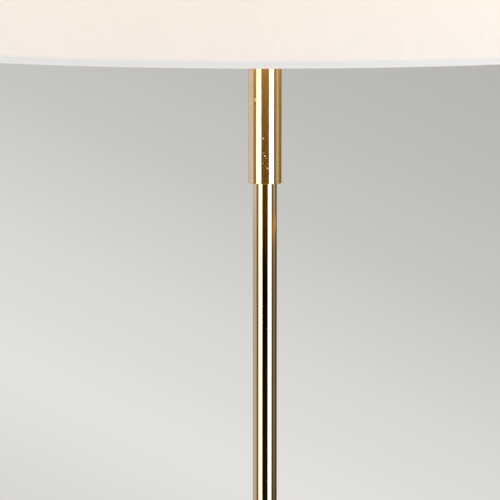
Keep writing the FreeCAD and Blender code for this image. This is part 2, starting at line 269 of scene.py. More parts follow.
def cut_away(piece, tool):
    """Cut the tool's shape out of a piece, as a drill or file would, and leave one plain mesh."""
    cutter = bpy.data.objects.new("cutter", bpy.data.meshes.new("cutter"))
    bmesh.ops.recalc_face_normals(tool, faces=tool.faces)
    tool.to_mesh(cutter.data)
    tool.free()
    bpy.context.scene.collection.objects.link(cutter)
    bite = piece.modifiers.new("bite", "BOOLEAN")
    bite.operation = "DIFFERENCE"
    bite.solver = "EXACT"
    bite.use_self = True
    bite.object = cutter
    piece.modifiers.move(len(piece.modifiers) - 1, 0)
    piece.modifiers["even_shading"].show_viewport = False
    seen = piece.evaluated_get(bpy.context.evaluated_depsgraph_get())
    cut_mesh = bpy.data.meshes.new_from_object(seen)
    old_mesh = piece.data
    piece.data = cut_mesh
    piece.modifiers.remove(bite)
    piece.modifiers["even_shading"].show_viewport = True
    bpy.data.objects.remove(cutter)
    bpy.data.meshes.remove(old_mesh)


wear, taken, given = new_effect("edge_wear", {"Patches": 0.5}, ["Worn"])
edge = step(wear, "Attribute", attribute_name="worn").outputs["Fac"]
wear.links.new(sums(wear, "MULTIPLY", edge, taken["Patches"]), given["Worn"])

polish, taken, given = new_effect(
    "polishing_marks",
    {"Marks": 2500.0, "Dullness": 0.14, "Unevenness": 0.08},
    ["Tone", "Roughness", "Height"],
)
lay = step(polish, "TexCoord").outputs["Object"]
split = step(polish, "SeparateXYZ", {0: lay}).outputs
flat = step(polish, "CombineXYZ", {0: split[0], 1: split[1]}).outputs[0]
reach = step(polish, "VectorMath", {0: flat}, operation="LENGTH").outputs["Value"]
outward = sums(polish, "MULTIPLY", reach, taken["Marks"])
upward = sums(polish, "MULTIPLY", split[2], taken["Marks"])
round_marks = step(polish, "CombineXYZ", {0: outward, 1: upward}).outputs[0]
lines = step(polish, "TexNoise", {"Vector": round_marks, "Scale": 1.0, "Detail": 3}).outputs[0]
clouds = step(polish, "TexNoise", {"Vector": lay, "Scale": 38, "Detail": 4, "Roughness": 0.6}).outputs[0]
spots = step(polish, "TexVoronoi", {"Vector": lay, "Scale": 160}).outputs
near = sums(polish, "LESS_THAN", spots["Distance"], 0.055)
chance = step(polish, "SeparateColor", {0: spots["Color"]}).outputs[0]
specks = sums(polish, "MULTIPLY", near, sums(polish, "LESS_THAN", chance, 0.25))
mixed = sums(polish, "ADD", sums(polish, "MULTIPLY", lines, 0.5), sums(polish, "MULTIPLY", clouds, 0.5))
swing = sums(polish, "MULTIPLY", sums(polish, "SUBTRACT", mixed, 0.5), taken["Unevenness"])
dulled = sums(polish, "ADD", swing, taken["Dullness"])
polish.links.new(clouds, given["Tone"])
polish.links.new(sums(polish, "ADD", dulled, sums(polish, "MULTIPLY", specks, 0.3)), given["Roughness"])
polish.links.new(sums(polish, "ADD", lines, specks), given["Height"])


def polished_brass(name, dullness, marks, bump_depth, unevenness=0.08, spread=1.0):
    """Lacquered brass: marks round the axis that spread the gloss, faint clouds and specks, rubbed edges."""
    finish, tree, shader = plain_finish(name)
    marked = placed(tree, polish, Marks=marks, Dullness=dullness, Unevenness=unevenness)
    rubbed = placed(tree, wear, Patches=marked["Tone"])["Worn"]
    clouded = tinted(tree, marked["Tone"], (0.95, 0.73, 0.39), (0.9, 0.67, 0.34))
    feed(
        tree,
        shader,
        bump_depth,
        Base_Color=tinted(tree, rubbed, clouded, (0.97, 0.8, 0.56)),
        Roughness=sums(tree, "ADD", marked["Roughness"], sums(tree, "MULTIPLY", rubbed, 0.12)),
        Height=marked["Height"],
        Tangent=step(tree, "Tangent", direction_type="UV_MAP", uv_map="turning_lay").outputs[0],
    )
    shader.inputs["Metallic"].default_value = 1.0
    shader.inputs["Anisotropic"].default_value = spread
    shader.inputs["Anisotropic Rotation"].default_value = 0.25
    return finish


cover_radius = 0.085
cover_top = 0.016
cover_foot = 0.001
cover_wall = 0.0012
rolled_edge = 0.0022
hair = 0.0001
rod_hole_radius = 0.0051
cord_hole_radius = 0.00425
cord_hole_height = 0.0076
drill_length = 0.006

spun_brass = polished_brass("spun_brass", dullness=0.26, marks=1900, bump_depth=0.00002)
form = turned(
    [
        (cover_radius, cover_foot),
        (cover_radius, cover_top),
        (rod_hole_radius, cover_top),
        (rod_hole_radius, cover_top - cover_wall),
        (cover_radius - cover_wall, cover_top - cover_wall),
        (cover_radius - cover_wall, cover_foot),
    ],
    steps=192,
)
soften(form, radius=rolled_edge, rounds=8, along=rim(cover_top, beyond=cover_radius / 2))
soften(form, radius=0.0003, rounds=2, along=rim(cover_foot))
cover = set_brass("base_cover_spun", form, cover_radius, spun_brass, "stand", "base_cover")
drill = bmesh.new()
bmesh.ops.create_cone(
    drill,
    cap_ends=True,
    segments=48,
    radius1=cord_hole_radius,
    radius2=cord_hole_radius,
    depth=drill_length,
    matrix=Matrix.Translation((0, cover_radius, cord_hole_height)) @ Matrix.Rotation(math.pi / 2, 4, "X"),
)
cut_away(cover, drill)


# Cord bush. A black moulded ring that snaps into the hole in the back of the cover and keeps the
# thin brass edge off the cord: a neck through the wall, a rounded flange outside, a flared mouth.
black_moulding, tree, shader = plain_finish("black_moulding")
spark_grain = placed(tree, grain, Scale=1600, Detail=2)["Value"]
handling = placed(tree, grain, Scale=90, Detail=4, Smoothest=0.36, Roughest=0.55)
feed(
    tree,
    shader,
    bump_depth=0.00006,
    Base_Color=tinted(tree, handling["Value"], (0.014, 0.014, 0.015), (0.032, 0.032, 0.034)),
    Roughness=handling["Roughness"],
    Height=spark_grain,
)

bush_start = 0.08005
flange_start = 0.08505
flange_end = 0.08655
bush_bore, neck_radius, flange_radius = 0.0031, 0.0042, 0.0056
flared_mouth = 0.0007
form = turned(
    [
        (bush_bore, bush_start),
        (neck_radius, bush_start),
        (neck_radius, flange_start),
        (flange_radius, flange_start),
        (flange_radius, flange_end),
        (bush_bore, flange_end),
    ],
    steps=64,
)
soften(form, radius=flared_mouth, rounds=4, along=rim(flange_end))
soften(form, radius=0.00025, rounds=2, along=rim(bush_start))
bmesh.ops.rotate(form, verts=form.verts, cent=(0, 0, 0), matrix=Matrix.Rotation(-math.pi / 2, 3, "X"))
bmesh.ops.translate(form, verts=form.verts, vec=(0, 0, cord_hole_height))
set_in_place("cord_bush", form, black_moulding, "stand", ["cable_bush"])


# Rod, nut and washer. Zinc-plated steel; the rod is rolled with a fine thread from end to end, and
# the nut pulls base, stem and lampholder together against it. All of it is hidden in the lamp.
zinc, tree, shader = plain_finish("zinc_plated_steel")
lay = step(tree, "TexCoord").outputs["Object"]
spangle = step(tree, "TexVoronoi", {"Vector": lay, "Scale": 420}).outputs["Distance"]
clouds = placed(tree, grain, Scale=70, Detail=3)["Value"]
feed(
    tree,
    shader,
    bump_depth=0.00003,
    Base_Color=tinted(tree, clouds, (0.55, 0.56, 0.57), (0.7, 0.69, 0.66)),
    Roughness=ranged(tree, spangle, 0.26, 0.42),
    Height=spangle,
)
shader.inputs["Metallic"].default_value = 1.0
refinish(zinc, "rod_nut", "lock_washer")

turns_a_metre = 1000.0
rolled_thread, tree, shader = plain_finish("rolled_thread")
lay = step(tree, "TexCoord").outputs["Object"]
split = step(tree, "SeparateXYZ", {0: lay}).outputs
turn = sums(tree, "DIVIDE", sums(tree, "ARCTAN2", split[1], split[0]), math.tau)
winding = sums(tree, "ADD", sums(tree, "MULTIPLY", split[2], turns_a_metre), turn)
flank = sums(tree, "ABSOLUTE", sums(tree, "SUBTRACT", sums(tree, "FRACT", winding), 0.5))
# The colour is darker in the thread's grooves and lighter on its crests: painted shade in the grooves.
feed(
    tree,
    shader,
    bump_depth=0.0006,
    Base_Color=tinted(tree, flank, (0.42, 0.42, 0.42), (0.68, 0.67, 0.65)),
    Roughness=ranged(tree, flank, 0.28, 0.5),
    Height=flank,
)
shader.inputs["Metallic"].default_value = 1.0
refinish(rolled_thread, "threaded_rod")


# Stem. A length of 13 mm drawn brass tube, polished bright and lacquered, that stands on the cover
# and is held between it and the lampholder by the rod inside.


def tube(bore, radius, foot, head, steps=144):
    """A plain upright tube about the lamp's axis, or a solid disc where the bore is 0."""
    return turned([(bore, foot), (radius, foot), (radius, head), (bore, head)], steps)


stem_radius = 0.0065
stem_bore = 0.0055
stem_top = 0.407
sawn_edge = 0.0002

drawn_brass = polished_brass(
    "drawn_brass", dullness=0.045, marks=90, bump_depth=0.0000004, unevenness=0.01, spread=0.3
)
form = tube(stem_bore, stem_radius, cover_top, stem_top)
soften(form, radius=sawn_edge, rounds=2)
set_brass("stem", form, stem_radius, drawn_brass, "stand", "stem_tube")


# Sleeve and its ring. A short 18 mm brass tube slipped over the top of the stem, its edges broken
# with a fine round and a few flecks of dust on its front. A black nylon ring inside centres it.
sleeve_radius = 0.009
sleeve_bore = 0.008
sleeve_foot = 0.327
flecks = (
    (0.02265, 0.3817, 0.0008),
    (0.02724, 0.3609, 0.0004),
    (0.02832, 0.3514, 0.0004),
    (0.0289, 0.3502, 0.0002),
    (0.0276, 0.3529, 0.0002),
    (0.02969, 0.3446, 0.0004),
    (0.0272, 0.3475, 0.0002),
)

sleeve_brass = polished_brass("sleeve_brass", dullness=0.21, marks=1300, bump_depth=0.000004, unevenness=0.05)
tree = sleeve_brass.node_tree
shader = tree.nodes["Principled BSDF"]
lay = step(tree, "UVMap", uv_map="turning_lay").outputs[0]
dullness = shader.inputs["Roughness"].links[0].from_socket
bare = 1.0
for across, up, size in flecks:
    away = step(tree, "VectorMath", {0: lay, 1: (across, up, 0)}, operation="DISTANCE").outputs["Value"]
    dust = ranged(tree, away, 1.0, 0.0, start=size * 0.2, end=size * 1.5)
    dullness = sums(tree, "ADD", dullness, sums(tree, "MULTIPLY", dust, 0.6))
    bare = sums(tree, "SUBTRACT", bare, dust)
feed(tree, shader, Roughness=dullness, Metallic=bare)
form = tube(sleeve_bore, sleeve_radius, sleeve_foot, stem_top)
soften(form, radius=0.0004, rounds=5)
set_brass("sleeve", form, sleeve_radius, sleeve_brass, "stand", "stem_sleeve")

nylon_bore, nylon_radius = 0.00655, 0.00795
nylon_foot, nylon_head = 0.3278, 0.3328
form = tube(nylon_bore, nylon_radius, nylon_foot, nylon_head, steps=96)
soften(form, radius=sawn_edge, rounds=2)
set_in_place("sleeve_ring", form, black_moulding, "stand", ["sleeve_bush"])


# Lampholder cap. A drawn brass cup with a rounded shoulder and a bead at its mouth, screwed on the
# rod's end. A window in each side lets the push bar through, and a post inside takes the earth.


def block(middle, size):
    """A plain block with its middle at a point."""
    form = bmesh.new()
    bmesh.ops.create_cube(form, size=1, matrix=Matrix.Translation(middle) @ Matrix.Diagonal((*size, 1)))
    return form


cap_radius = 0.0195
cap_bore = 0.0187
cap_floor = 0.4095
cap_mouth = 0.433
cap_shoulder = 0.004
bead_rise = 0.0003
bead_start, bead_full = 0.4298, 0.4304
post_radius, post_foot, post_head = 0.0025, 0.409, 0.4175
bar_height = 0.422
windows = (0.05, 0.0056, 0.0046)

holder_brass = polished_brass("holder_brass", dullness=0.28, marks=1500, bump_depth=0.00001)
form = turned(
    [
        (rod_hole_radius, stem_top),
        (cap_radius - bead_rise, stem_top),
        (cap_radius - bead_rise, bead_start),
        (cap_radius, bead_full),
        (cap_radius, cap_mouth),
        (cap_bore, cap_mouth),
        (cap_bore, cap_floor),
        (rod_hole_radius, cap_floor),
    ],
)
soften(form, radius=cap_shoulder, rounds=8, along=rim(stem_top, beyond=cap_radius / 2))
soften(form, radius=0.0003, rounds=3, along=rim(cap_mouth))
bmesh.ops.create_cone(
    form,
    cap_ends=True,
    segments=32,
    radius1=post_radius,
    radius2=post_radius,
    depth=post_head - post_foot,
    matrix=Matrix.Translation((0, -0.013, (post_foot + post_head) / 2)),
)
cap = set_brass("holder_cup", form, cap_radius, holder_brass, "stand", "holder_cap")
cut_away(cap, block((0, 0, bar_height), windows))


# Switch. A moulded block on the cap's floor with a push bar through it. The bar is pushed from
# either side; its ends are rounded for the finger, and a notch in its middle works the contact.
refinish(black_moulding, "switch_block")

bar_middle = -0.003
bar_size = (0.051, 0.005, 0.004)
finger_round = 0.0011
notch_height, notch_size = 0.4241, (0.005, 0.007, 0.002)
form = block((bar_middle, 0, bar_height), bar_size)
soften(form, radius=finger_round, rounds=4, along=lambda at: abs(at.x - bar_middle) > bar_size[0] / 2 - hair)
soften(form, radius=0.0003, rounds=2)
bar = set_in_place("push_bar", form, black_moulding, "switch", ["switch_bar"])
cut_away(bar, block((bar_middle, 0, notch_height), notch_size))


# Core, terminals and contacts. An unglazed ceramic core carries two stamped brass terminals with
# steel screws below and the two spring contacts above; the skirt and the bulb hide them.
unglazed_ceramic = grained_finish(
    "unglazed_ceramic",
    colours=((0.7, 0.67, 0.6), (0.84, 0.82, 0.77)),
    fine=(1100, 3),
    coarse=(110, 3),
    roughness=(0.55, 0.8),
    bump_depth=0.0001,
)
refinish(unglazed_ceramic, "holder_core")
refinish(black_moulding, "thread_insert")

stamped_brass = grained_finish(
    "stamped_brass",
    colours=((0.66, 0.5, 0.27), (0.84, 0.68, 0.4)),
    fine=(500, 4),
    roughness=(0.28, 0.5),
    bump_depth=0.00004,
    metallic=1.0,
)
refinish(stamped_brass, "terminal_blocks", "centre_contact", "side_contact")
refinish(zinc, "terminal_screws", "earth_screw")


# Lampholder skirt. A brass sleeve over the core with a rolled thread outside, on which the two
# shade rings run. A plain strip is left at each end so that a ring starts straight.


def wind_thread(form, root, crest, pitch, bottom, top, steps=72):
    """Wind a ridge round the axis, up from bottom, as a screw thread."""
    half = pitch * 0.34
    turns = (top - bottom) / pitch
    section = [
        form.verts.new((radius, 0, bottom + rise))
        for radius, rise in [(root, -half), (crest, -half / 5), (crest, half / 5), (root, half)]
    ]
    loop = [form.edges.new(pair) for pair in zip(section, section[1:] + section[:1])]
    bmesh.ops.spin(
        form,
        geom=section + loop,
        axis=(0, 0, 1),
        cent=(0, 0, 0),
        dvec=(0, 0, pitch / steps),
        angle=math.tau * turns,
        steps=round(steps * turns),
    )
    bmesh.ops.holes_fill(form, edges=[edge for edge in form.edges if edge.is_boundary], sides=4)
    bmesh.ops.recalc_face_normals(form, faces=form.faces)


skirt_radius = 0.0194
skirt_top = 0.474
ring_thread_root, ring_thread_crest, ring_thread_pitch = 0.0193, 0.02, 0.002
plain_strip = 0.0025
form = tube(cap_bore, skirt_radius, cap_mouth, skirt_top)
soften(form, radius=sawn_edge, rounds=2)
wind_thread(
    form,
    ring_thread_root,
    ring_thread_crest,
    ring_thread_pitch,
    bottom=cap_mouth + plain_strip,
    top=skirt_top - plain_strip,
)
set_brass("threaded_skirt", form, ring_thread_crest, holder_brass, "stand", "holder_skirt")


# Shade rings. Two brass ring nuts on the skirt's thread, with ribs for the fingers. The lower one
# is a stop and the upper one clamps the shade's fitter down on it; each has a plain flange there.
ring_bore, ring_barrel, ring_radius = 0.0201, 0.0262, 0.028
rib_round = 0.0004
rib_count = 24


def grip_ring(flange_bottom, flange_top, far_side):
    """A ring nut with a smooth flange, and rounded finger ribs between the flange and its far side."""
    flange_side = flange_bottom if far_side < flange_bottom else flange_top
    form = tube(ring_bore, ring_radius, flange_bottom, flange_top, steps=96)
    soften(form, radius=0.0003, rounds=3)
    barrel = tube(ring_bore, ring_barrel, far_side, flange_side, steps=96)
    quarter_rib = 360 / rib_count / 4
    grips = [
        face
        for face in barrel.faces
        if abs(face.normal.z) < 0.5
        and face.calc_center_median().xy.length > (ring_bore + ring_barrel) / 2
        and math.floor(math.degrees(math.atan2(*face.calc_center_median().yx)) / quarter_rib) % 4 < 2
    ]
    pulled = corners_in(bmesh.ops.extrude_face_region(barrel, geom=grips))
    out = (ring_radius - rib_round) / ring_barrel
    bmesh.ops.scale(barrel, verts=pulled, vec=(out, out, 1))
    bmesh.ops.delete(barrel, geom=[face for face in grips if face.is_valid], context="FACES_ONLY")
    bmesh.ops.recalc_face_normals(barrel, faces=barrel.faces)
    soften(barrel, radius=rib_round, rounds=3, along=lambda at: at.xy.length > ring_barrel + rib_round)
    shape = bpy.data.meshes.new("barrel")
    barrel.to_mesh(shape)
    barrel.free()
    form.from_mesh(shape)
    bpy.data.meshes.remove(shape)
    return form


form = grip_ring(flange_bottom=0.4426, flange_top=0.444, far_side=0.438)
set_brass("shade_ring_lower", form, ring_radius, holder_brass, "stand", "lower_shade_ring")
form = grip_ring(flange_bottom=0.4461, flange_top=0.4475, far_side=0.4521)
set_brass("shade_ring_upper", form, ring_radius, holder_brass, "clamp_ring", "upper_shade_ring")


# Shade fitter. A steel washer that sits between the shade rings, with three flat bars bent down and
# out to the strip ring in the shade's lower hem, spot welded on and powder coated white.
powder_coat, tree, shader = plain_finish("white_powder_coat")
orange_peel = placed(tree, grain, Scale=650, Detail=2, Smoothest=0.3, Roughest=0.5)
yellowing = placed(tree, grain, Scale=30, Detail=3)["Value"]
thin_coat = placed(tree, wear, Patches=placed(tree, grain, Scale=900, Detail=2)["Value"])["Worn"]
coated = tinted(tree, yellowing, (0.86, 0.855, 0.83), (0.8, 0.785, 0.74))
feed(
    tree,
    shader,
    bump_depth=0.00015,
    Base_Color=tinted(tree, thin_coat, coated, (0.62, 0.61, 0.58)),
    Roughness=orange_peel["Roughness"],
    Height=orange_peel["Value"],
)

washer_bore, washer_radius = 0.02075, 0.036
washer_low, washer_high = 0.4443, 0.4458
bar_width, bar_thickness = 0.005, 0.002
bar_edge_round = 0.0004
bend_radius = 0.008
inner_end, first_bend, second_bend, outer_end = 0.029, 0.041, 0.1884, 0.1984
high_line, low_line = 0.4468, 0.40225
weld_radius, weld_flatness = 0.0011, 0.25
arm_count = 3

form = tube(washer_bore, washer_radius, washer_low, washer_high, steps=96)
soften(form, radius=0.0003, rounds=2)

slope = math.atan2(high_line - low_line, second_bend - first_bend)
take_up = bend_radius * math.tan(slope / 2)
incline = math.hypot(second_bend - first_bend, high_line - low_line) - 2 * take_up
arm = bmesh.new()
section = [
    arm.verts.new((inner_end, side * bar_width / 2, high_line + rise * bar_thickness / 2))
    for side, rise in [(-1, -1), (1, -1), (1, 1), (-1, 1)]
]
loop = [arm.edges.new(pair) for pair in zip(section, section[1:] + section[:1])]


def run_on(bar_end, along):
    """Lengthen the bar straight by the step along."""
    longer = bmesh.ops.extrude_edge_only(arm, edges=bar_end)
    corners = set(corners_in(longer))
    bmesh.ops.translate(arm, verts=list(corners), vec=along)
    edges = [part for part in longer["geom"] if isinstance(part, bmesh.types.BMEdge)]
    return [edge for edge in edges if corners.issuperset(edge.verts)]


def bend(bar_end, centre, angle):
    """Bend the bar about a line across it through centre."""
    turned_end = bmesh.ops.spin(
        arm,
        geom=bar_end + list({corner for edge in bar_end for corner in edge.verts}),
        axis=(0, 1, 0),
        cent=centre,
        angle=angle,
        steps=6,
    )["geom_last"]
    return [edge for edge in turned_end if isinstance(edge, bmesh.types.BMEdge)]


down_slope = Vector((math.cos(slope), 0, -math.sin(slope)))
end = run_on(loop, (first_bend - take_up - inner_end, 0, 0))
end = bend(end, (first_bend - take_up, 0, high_line - bend_radius), slope)
end = run_on(end, down_slope * incline)
end = bend(end, (second_bend + take_up, 0, low_line + bend_radius), -slope)
end = run_on(end, (outer_end - second_bend - take_up, 0, 0))
bmesh.ops.holes_fill(arm, edges=[edge for edge in arm.edges if edge.is_boundary], sides=4)
bmesh.ops.recalc_face_normals(arm, faces=arm.faces)
soften(arm, radius=bar_edge_round, rounds=3)
for weld_spot in (0.0312, 0.0338):
    on_bar = Matrix.Translation((weld_spot, 0, high_line + bar_thickness / 2))
    flattened = on_bar @ Matrix.Diagonal((1, 1, weld_flatness, 1))
    bmesh.ops.create_uvsphere(arm, u_segments=16, v_segments=8, radius=weld_radius, matrix=flattened)
bmesh.ops.rotate(arm, verts=arm.verts, cent=(0, 0, 0), matrix=Matrix.Rotation(math.pi / 2, 3, "Z"))
shape = bpy.data.meshes.new("arm")
to_next_arm = Matrix.Rotation(math.tau / arm_count, 3, "Z")
for _ in range(arm_count):
    arm.to_mesh(shape)
    form.from_mesh(shape)
    bmesh.ops.rotate(arm, verts=arm.verts, cent=(0, 0, 0), matrix=to_next_arm)
arm.free()
bpy.data.meshes.remove(shape)
set_in_place("fitter", form, powder_coat, "shade", ["shade_fitter"])


# Strip rings. Two hoops of flat zinc-plated steel strip that hold the shade round, one in each hem.
# The fitter's three bars are welded to the lower one.
refinish(zinc, "bottom_ring", "top_ring")


# Shade lining. Stiff white plastic sheet, rolled to a drum between the two strip rings and lapped at
# the back. The cloth is laminated to it, and the bulb's light on it from inside is a painted glow.


def light_up(finish, share, dim, bright, strength):
    """Let a finish give off light, from dim to bright as share goes from 0 to 1."""
    tree = finish.node_tree
    shader = tree.nodes["Principled BSDF"]
    feed(tree, shader, Emission_Color=tinted(tree, share, dim, bright))
    shader.inputs["Emission Strength"].default_value = strength


brightest = 0.515
# Painted light: the bulb's glow on the lining and through the cloth, brightest level with the bulb and
# falling off above and below it.
painted_bulb_glow, taken, given = new_effect("painted_bulb_glow", {"Spread": 0.08, "Gain": 0.6, "Least": 0.4}, ["Glow"])
lay = step(painted_bulb_glow, "TexCoord").outputs["Object"]
height = step(painted_bulb_glow, "SeparateXYZ", {0: lay}).outputs[2]
from_bulb = sums(painted_bulb_glow, "DIVIDE", sums(painted_bulb_glow, "SUBTRACT", height, brightest), taken["Spread"])
falling = sums(painted_bulb_glow, "MULTIPLY", sums(painted_bulb_glow, "MULTIPLY", from_bulb, from_bulb), -1.0)
glow = sums(painted_bulb_glow, "MULTIPLY_ADD", sums(painted_bulb_glow, "EXPONENT", falling), taken["Gain"], taken["Least"])
painted_bulb_glow.links.new(glow, given["Glow"])

lining_sheet = grained_finish(
    "lit_lining",
    colours=((0.87, 0.86, 0.84), (0.92, 0.91, 0.89)),
    fine=(45, 3),
    roughness=(0.42, 0.55),
    bump_depth=0.0001,
)
# The lining's painted glow from the bulb inside.
lit = placed(lining_sheet.node_tree, painted_bulb_glow, Spread=0.085, Gain=0.6, Least=0.4)["Glow"]
light_up(lining_sheet, lit, dim=(0.0, 0.0, 0.0), bright=(1.0, 0.46, 0.03), strength=0.65)

lining_bore, lining_radius = 0.19895, 0.19945
lining_foot, lining_head = 0.404, 0.646
form = tube(lining_bore, lining_radius, lining_foot, lining_head, steps=192)
set_in_place("lining_drum", form, lining_sheet, "shade", ["shade_lining"])


# Shade cloth. Fine plain-woven cream cloth on the lining, turned in round the strip rings at top and
# bottom, slit where an arm passes, and lapped at the back. A painted glow of the bulb lights it between the
# hems.
cloth_radius = 0.19975
lay_radius = 0.2
shade_foot = 0.4
shade_head = 0.65
hem_dark, hem_clear = 0.0026, 0.0048
lip_dark, lip_lit = 0.0014, 0.0004
yarns_a_metre = 2600
pinhole_radius = 0.0006
pinholes = ((-0.0804, 0.4169), (-0.0021, 0.4247), (0.0172, 0.4146), (0.0308, 0.4333), (0.0062, 0.4131))

cloth, tree, shader = plain_finish("cream_cloth")
threads = step(tree, "UVMap", uv_map="cloth_lay").outputs[0]
across = step(tree, "SeparateXYZ", {0: threads}).outputs
warp_line = step(tree, "Mapping", {"Vector": threads, "Scale": (2300, 60, 1)}).outputs[0]
weft_line = step(tree, "Mapping", {"Vector": threads, "Scale": (60, 2300, 1)}).outputs[0]
warp = step(tree, "TexNoise", {"Vector": warp_line, "Scale": 1, "Detail": 1}).outputs[0]
weft = step(tree, "TexNoise", {"Vector": weft_line, "Scale": 1, "Detail": 1}).outputs[0]
yarns = sums(tree, "MULTIPLY", sums(tree, "ADD", warp, weft), 0.5)
over = sums(tree, "SINE", sums(tree, "MULTIPLY", across[0], yarns_a_metre * math.pi))
under = sums(tree, "SINE", sums(tree, "MULTIPLY", across[1], yarns_a_metre * math.pi))
plain_weave = sums(tree, "MULTIPLY", over, under)
surface = sums(tree, "MULTIPLY_ADD", plain_weave, 0.25, yarns)
lay = step(tree, "TexCoord").outputs["Object"]
height = step(tree, "SeparateXYZ", {0: lay}).outputs[2]
smoothly = {"interpolation_type": "SMOOTHSTEP"}
# The hems get no glow: painted shade where the strip rings block the bulb's light. A faint painted glow of
# leaking light lights the lower lip.
lower_edge = ranged(tree, height, start=shade_foot + hem_dark, end=shade_foot + hem_clear, **smoothly)
upper_edge = ranged(tree, height, start=shade_head - hem_dark, end=shade_head - hem_clear, **smoothly)
between_hems = sums(tree, "MULTIPLY", lower_edge, upper_edge)
lit = placed(tree, painted_bulb_glow, Spread=0.075, Gain=0.5, Least=0.42)["Glow"]
woven_glow = sums(tree, "MULTIPLY", lit, sums(tree, "MULTIPLY_ADD", yarns, -0.3, 1.15))
lip_glow = ranged(tree, height, high=0.15, start=shade_foot + lip_dark, end=shade_foot + lip_lit)
glow = sums(tree, "MULTIPLY_ADD", woven_glow, between_hems, lip_glow)
# Painted specks of light where the bulb shines through pinholes in the weave.
for hole_across, hole_up in pinholes:
    place = (math.pi * lay_radius + hole_across, cloth_radius + hole_up, 0)
    away = step(tree, "VectorMath", {0: threads, 1: place}, operation="DISTANCE").outputs["Value"]
    glow = sums(tree, "ADD", glow, sums(tree, "MULTIPLY", sums(tree, "LESS_THAN", away, pinhole_radius), 1.6))
cream_yarn = tinted(tree, yarns, (0.86, 0.824, 0.706), (0.8, 0.766, 0.656))
feed(tree, shader, bump_depth=0.00012, Base_Color=cream_yarn, Height=surface)
light_up(cloth, glow, dim=(0.0, 0.0, 0.0), bright=(1.0, 0.51, 0.07), strength=0.3)
shader.inputs["Roughness"].default_value = 0.85
shader.inputs["Sheen Weight"].default_value = 0.15

turned_in = 0.009
round_the_ring = [
    (0.1987, turned_in),
    (0.1987, 0.0052),
    (0.1982, 0.0042),
    (0.1982, 0.0007),
    (0.1985, 0.00025),
    (0.19935, 0.00025),
    (cloth_radius, 0.0006),
    (cloth_radius, 0.0039),
]
wall_rows = [0.0047, 0.03, 0.06, 0.09, 0.125, 0.16, 0.19, 0.22, 0.2453]
set_back = 0.00012
profile = (
    [(radius, shade_foot + rise) for radius, rise in round_the_ring]
    + [(cloth_radius - set_back, shade_foot + rise) for rise in wall_rows]
    + [(radius, shade_head - rise) for radius, rise in reversed(round_the_ring)]
)
form = bmesh.new()
corners = [form.verts.new((0, radius, row)) for radius, row in profile]
section = [form.edges.new(pair) for pair in zip(corners, corners[1:])]
bmesh.ops.spin(
    form,
    geom=corners + section,
    axis=(0, 0, 1),
    cent=(0, 0, 0),
    angle=math.tau,
    steps=216,
    use_merge=True,
)
bmesh.ops.remove_doubles(form, verts=form.verts, dist=1e-6)
bmesh.ops.recalc_face_normals(form, faces=form.faces)

arm_bearings = (90, 210, 330)
slit_half_width = 1.7
slit_foot = 0.0004
lap_half_width = 2.6
lap_lift = 1.0026
hem_width = 0.01
slack, ripple = 0.0004, 0.0002


def at_an_arm(face):
    """True if a face of the turned-in cloth lies where one of the fitter's arms passes."""
    bearing = math.degrees(math.atan2(*face.calc_center_median().yx))
    apart = [abs((bearing - arm_bearing + 180) % 360 - 180) for arm_bearing in arm_bearings]
    return min(apart) < slit_half_width


slits = [
    face
    for face in form.faces
    if shade_foot + slit_foot < face.calc_center_median().z < shade_foot + turned_in
    and face.calc_center_median().xy.length < lining_bore
    and at_an_arm(face)
]
bmesh.ops.delete(form, geom=slits, context="FACES")
lap = [
    face
    for face in form.faces
    if face.calc_center_median().xy.length > lining_radius
    and abs(math.degrees(math.atan2(*face.calc_center_median().xy))) < lap_half_width
]
doubled = corners_in(bmesh.ops.duplicate(form, geom=lap))
bmesh.ops.scale(form, verts=doubled, vec=(lap_lift, lap_lift, 1))
for corner in form.verts:
    if shade_foot + hem_width < corner.co.z < shade_head - hem_width:
        turn = math.atan2(corner.co.y, corner.co.x)
        corner.co.xy *= 1 + slack * math.sin(3 * turn + 1.3) + ripple * math.sin(8 * turn + 30 * corner.co.z)
lay_round(form, "cloth_lay", lay_radius)
drum = set_in_place("cloth_drum", form, cloth, "shade", ["shade_fabric"])
thickness = drum.modifiers.new("cloth_thickness", "SOLIDIFY")
thickness.thickness = 0.0005
thickness.offset = 0
drum.modifiers.move(len(drum.modifiers) - 1, 0)


# Bulb. A stick-shaped bulb: a soldered tip in black glass, a rolled bright shell, a white moulded
# collar with the driver in it, and an opal tube that glows warm white.
tip_foot, tip_head = 0.4468, 0.448
disc_head = 0.451
shell_head = 0.4748
collar_head = 0.4888
tube_head = 0.5588
tip_radius = 0.0045
disc_low_radius, disc_high_radius = 0.0058, 0.0095
shell_foot_radius, shell_radius = 0.0105, 0.0122
shell_shoulder = 0.4525
lamp_thread_root, lamp_thread_crest, lamp_thread_pitch = 0.0121, 0.01325, 0.00362
lamp_thread_foot, lamp_thread_head = 0.4545, 0.4725
bulb_radius = 0.019

form = tube(0, tip_radius, tip_foot, tip_head, steps=48)
soften(form, radius=0.0009, rounds=4, along=rim(tip_foot))
set_in_place("solder_tip", form, zinc, "bulb", ["bulb_tip"])

black_glass = grained_finish(
    "black_glass",
    colours=((0.008, 0.008, 0.01), (0.025, 0.024, 0.03)),
    fine=(240, 2),
    roughness=(0.05, 0.18),
    bump_depth=0.0001,
)
form = turned(
    [(0, tip_head), (disc_low_radius, tip_head), (disc_high_radius, disc_head), (0, disc_head)],
    steps=64,
)
set_in_place("glass_disc", form, black_glass, "bulb", ["bulb_insulator"])

